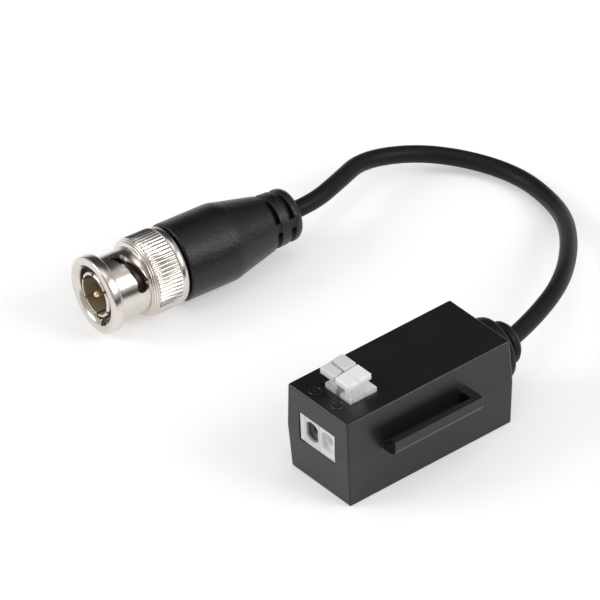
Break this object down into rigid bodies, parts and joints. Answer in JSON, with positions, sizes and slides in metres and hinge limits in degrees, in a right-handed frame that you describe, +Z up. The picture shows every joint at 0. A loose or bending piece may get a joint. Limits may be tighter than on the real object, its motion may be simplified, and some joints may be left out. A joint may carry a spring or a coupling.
{
  "type": "cctv video balun",
  "caption": "Small black housing with a two-way push-button wire terminal and a short coaxial lead that ends in a bayonet coaxial plug.",
  "frame": {"origin": "middle of the housing's underside", "axes": "+Z up, +Y along the housing from the wire entries to the cable gland, +X towards the wall with the rail"},
  "size_m": [0.0798, 0.0858, 0.0222],
  "materials": {
    "black_shell": "fine satin black moulding",
    "black_sheath": "smooth black sheath",
    "black_boot": "black moulding, part smooth and part textured",
    "white_terminal": "off-white moulding",
    "white_button": "white moulding",
    "nickel": "bright nickel plate",
    "gold": "gold plate",
    "insulator": "natural insulator in shade",
    "gasket": "dark red silicone",
    "spring_steel": "spring steel",
    "tinned": "tinned metal",
    "board": "green laminate",
    "ferrite": "dark ferrite",
    "copper": "enamelled wire",
    "ceramic": "ceramic",
    "epoxy": "dipped epoxy"
  },
  "bodies": {
    "housing": {"housing_cover": "black_shell", "housing_base": "black_shell", "terminal_end_plate": "white_terminal", "terminal_module_left": "white_terminal", "terminal_module_right": "white_terminal", "clamp_spring_left": "spring_steel", "clamp_spring_right": "spring_steel", "contact_left": "tinned", "contact_right": "tinned", "circuit_board": "board", "transformer_core": "ferrite", "transformer_winding": "copper", "surge_suppressor": "ceramic", "capacitor": "epoxy", "signal_lead": "copper", "shield_lead": "tinned", "cable_gland": "black_sheath", "cable": "black_sheath", "plug_body": "nickel", "plug_insulator": "insulator", "center_pin": "gold", "seal_gasket": "gasket", "spring_washer": "spring_steel", "retaining_ring": "spring_steel", "crimp_ferrule": "nickel", "plug_boot": "black_boot"},
    "button_left": {"release_button_left": "white_button"},
    "button_right": {"release_button_right": "white_button"},
    "nut_carrier": {"thrust_washer": "nickel"},
    "nut": {"coupling_nut": "nickel"}
  },
  "joints": [
    {"name": "button_left_press", "type": "slide", "parent": "housing", "child": "button_left", "axis": [0, 0, -1], "range_m": [0, 0.0015], "stiffness_N_per_m": 1500, "springref_m": -0.0005, "deforming": ["clamp_spring_left"]},
    {"name": "button_right_press", "type": "slide", "parent": "housing", "child": "button_right", "axis": [0, 0, -1], "range_m": [0, 0.0015], "stiffness_N_per_m": 1500, "springref_m": -0.0005, "deforming": ["clamp_spring_right"]},
    {"name": "nut_draw", "type": "slide", "parent": "housing", "child": "nut_carrier", "axis": [-0.0889, -0.996, 0], "range_m": [0, 0.001], "stiffness_N_per_m": 4000, "springref_m": -0.0003, "deforming": ["spring_washer"]},
    {"name": "nut_turn", "type": "hinge", "parent": "nut_carrier", "child": "nut", "pos_m": [-0.06105, -0.0191, 0.00732], "axis": [-0.0889, -0.996, 0], "continuous": true}
  ]
}
